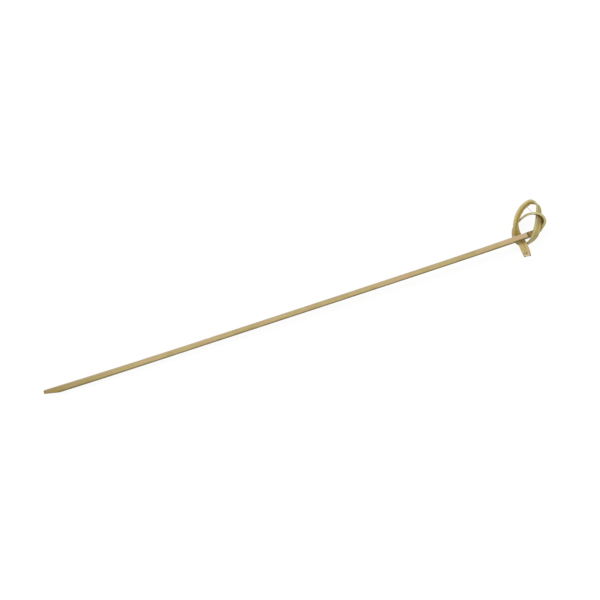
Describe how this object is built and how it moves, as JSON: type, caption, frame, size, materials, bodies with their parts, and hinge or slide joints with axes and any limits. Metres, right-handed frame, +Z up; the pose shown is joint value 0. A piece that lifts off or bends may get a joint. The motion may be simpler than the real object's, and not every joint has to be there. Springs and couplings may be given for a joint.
{
  "type": "knot pick",
  "caption": "Long bamboo pick with a straight blunt shaft and an open knot tied in its shaved upper end, with a short tail.",
  "frame": {"origin": "under the middle of the pick as it lies on a table, at the table's level", "axes": "+X from the blunt tip towards the knot, +Y across the shaft on the side of the knot's tall loop, +Z up from the table the pick lies on"},
  "size_m": [0.18, 0.0184, 0.007],
  "materials": {
    "bamboo": "bare split bamboo, matt, with fine fibres along its length"
  },
  "bodies": {
    "root": {"knot_pick": "bamboo"}
  },
  "joints": []
}
